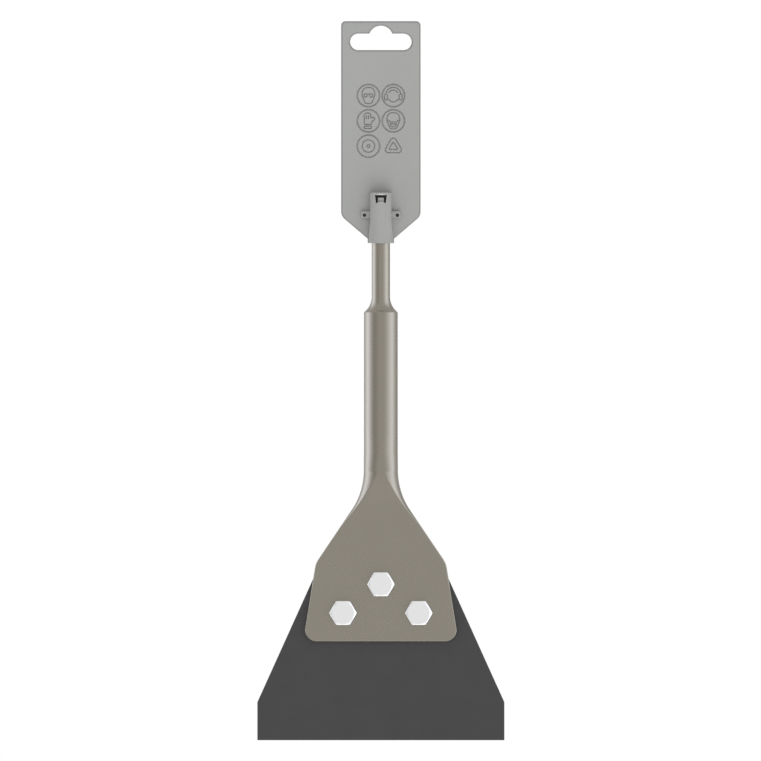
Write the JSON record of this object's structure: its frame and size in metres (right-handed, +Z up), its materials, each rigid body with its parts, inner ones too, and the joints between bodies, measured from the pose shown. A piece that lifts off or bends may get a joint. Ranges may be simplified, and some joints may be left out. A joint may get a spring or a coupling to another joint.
{
  "type": "scraper chisel",
  "caption": "Floor scraper chisel for a hammer drill: a wide blade bolted behind a forged spade, with an SDS-plus shank held in the sleeve of a moulded hang tag.",
  "frame": {"origin": "top of the hanging slot's arch in the middle of the card's thickness, where the display hook carries the part", "axes": "+Z up along the tool towards the hanging slot, +X to the right as seen from the front, -Y towards the viewer, on the side of the bolt heads"},
  "size_m": [0.135, 0.0305, 0.3929],
  "materials": {
    "forged_steel": "bead-blasted, dull satin",
    "blade_steel": "black phosphated, matt",
    "zinc_plate": "bright zinc plate",
    "tag_plastic": "fine moulded grain",
    "pin_steel": "dark, dull"
  },
  "bodies": {
    "tag": {"hang_card": "tag_plastic", "shank_sleeve": "tag_plastic", "sleeve_pin_left": "pin_steel", "sleeve_pin_right": "pin_steel"},
    "latch": {"latch_tongue": "tag_plastic"},
    "chisel": {"chisel_body": "forged_steel", "scraper_blade": "blade_steel", "hex_bolt_top": "zinc_plate", "hex_bolt_left": "zinc_plate", "hex_bolt_right": "zinc_plate"},
    "washers_top": {"flat_washer_top": "zinc_plate", "spring_washer_top": "zinc_plate"},
    "washers_left": {"flat_washer_left": "zinc_plate", "spring_washer_left": "zinc_plate"},
    "washers_right": {"flat_washer_right": "zinc_plate", "spring_washer_right": "zinc_plate"},
    "nut_top": {"hex_nut_top": "zinc_plate"},
    "nut_left": {"hex_nut_left": "zinc_plate"},
    "nut_right": {"hex_nut_right": "zinc_plate"}
  },
  "joints": [
    {"name": "tool_pull_out", "type": "slide", "parent": "tag", "child": "chisel", "axis": [0, 0, -1], "range_m": [0, 0.03]},
    {"name": "latch_flex", "type": "hinge", "parent": "tag", "child": "latch", "pos_m": [0, -0.01213, -0.1072], "axis": [1, 0, 0], "range_deg": [0, 8], "stiffness_Nm_per_rad": 0.015},
    {"name": "washers_top_loosen", "type": "slide", "parent": "chisel", "child": "washers_top", "axis": [0, 1, 0], "range_m": [0, 0.0101]},
    {"name": "nut_top_unscrew", "type": "hinge", "parent": "washers_top", "child": "nut_top", "pos_m": [0, -0.0062, -0.3052], "axis": [0, 1, 0], "range_deg": [0, 2880]},
    {"name": "washers_left_loosen", "type": "slide", "parent": "chisel", "child": "washers_left", "axis": [0, 1, 0], "range_m": [0, 0.0101]},
    {"name": "nut_left_unscrew", "type": "hinge", "parent": "washers_left", "child": "nut_left", "pos_m": [-0.0207, -0.0062, -0.3209], "axis": [0, 1, 0], "range_deg": [0, 2880]},
    {"name": "washers_right_loosen", "type": "slide", "parent": "chisel", "child": "washers_right", "axis": [0, 1, 0], "range_m": [0, 0.0101]},
    {"name": "nut_right_unscrew", "type": "hinge", "parent": "washers_right", "child": "nut_right", "pos_m": [0.0207, -0.0062, -0.3209], "axis": [0, 1, 0], "range_deg": [0, 2880]}
  ],
  "couplings": [
    {"joint": "washers_top_loosen", "follows": "nut_top_unscrew", "m_per_rad": 0.00019894},
    {"joint": "washers_left_loosen", "follows": "nut_left_unscrew", "m_per_rad": 0.00019894},
    {"joint": "washers_right_loosen", "follows": "nut_right_unscrew", "m_per_rad": 0.00019894}
  ]
}
